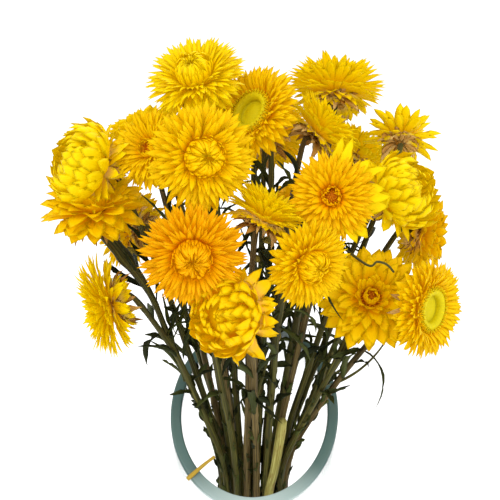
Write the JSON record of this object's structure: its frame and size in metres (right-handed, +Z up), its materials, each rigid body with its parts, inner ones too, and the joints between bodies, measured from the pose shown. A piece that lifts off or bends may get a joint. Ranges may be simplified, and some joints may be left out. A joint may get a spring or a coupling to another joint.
{
  "type": "dried flower bouquet in a vase",
  "caption": "Bunch of dried strawflowers with papery yellow and orange heads on dried stems, standing in a clear glass vase whose rim is cut at a slant.",
  "frame": {"origin": "centre of the underside of the vase's base", "axes": "+Z up along the vase, -Y towards the low side of the slanted rim, +X to the right seen from there"},
  "size_m": [0.1921, 0.1746, 0.3832],
  "materials": {
    "vase_glass": "clear, fire-polished rim",
    "bracts_lemon": "dry, papery, slightly glossy",
    "bracts_yellow": "dry, papery, slightly glossy",
    "bracts_golden": "dry, papery, slightly glossy",
    "bracts_orange": "dry, papery, slightly glossy",
    "stem_dried": "dried, ridged",
    "stem_stripped": "dried, smooth",
    "leaf_dried": "dried, curled"
  },
  "bodies": {
    "root": {"vase": "vase_glass", "head_top_left": "bracts_lemon", "stem_top_left": "stem_dried", "head_large_left": "bracts_golden", "stem_large_left": "stem_dried", "head_green_button": "bracts_yellow", "stem_green_button": "stem_dried", "head_top_right": "bracts_yellow", "stem_top_right": "stem_dried", "head_far_right_small": "bracts_lemon", "stem_far_right_small": "stem_dried", "head_far_left_bud": "bracts_yellow", "stem_far_left_bud": "stem_dried", "head_left_back": "bracts_lemon", "stem_left_back": "stem_dried", "head_left_orange": "bracts_golden", "stem_left_orange": "stem_dried", "head_front_orange": "bracts_orange", "stem_front_orange": "stem_dried", "head_centre_fan": "bracts_yellow", "stem_centre_fan": "stem_stripped", "head_orange_heart": "bracts_orange", "stem_orange_heart": "stem_stripped", "head_front_right": "bracts_yellow", "stem_front_right": "stem_stripped", "head_right_scales": "bracts_yellow", "stem_right_scales": "stem_dried", "head_right_low": "bracts_yellow", "stem_right_low": "stem_dried", "head_right_underside": "bracts_golden", "stem_right_underside": "stem_dried", "head_right_button": "bracts_yellow", "stem_right_button": "stem_dried", "head_low_left": "bracts_yellow", "stem_low_left": "stem_dried", "head_low_front": "bracts_yellow", "stem_low_front": "stem_dried", "head_upper_fan": "bracts_yellow", "stem_upper_fan": "stem_dried", "head_left_behind": "bracts_golden", "stem_left_behind": "stem_dried", "head_right_filler": "bracts_lemon", "stem_right_filler": "stem_dried", "head_back_crown": "bracts_yellow", "stem_back_crown": "stem_dried", "head_back_left": "bracts_golden", "stem_back_left": "stem_dried", "head_back_centre": "bracts_yellow", "stem_back_centre": "stem_dried", "head_back_right": "bracts_lemon", "stem_back_right": "stem_dried", "head_back_low_left": "bracts_yellow", "stem_back_low_left": "stem_dried", "head_back_low_right": "bracts_golden", "stem_back_low_right": "stem_dried", "leaf_left": "leaf_dried", "leaf_front": "leaf_dried", "leaf_right": "leaf_dried", "leaf_back": "leaf_dried", "leaf_back_left": "leaf_dried"}
  },
  "joints": []
}
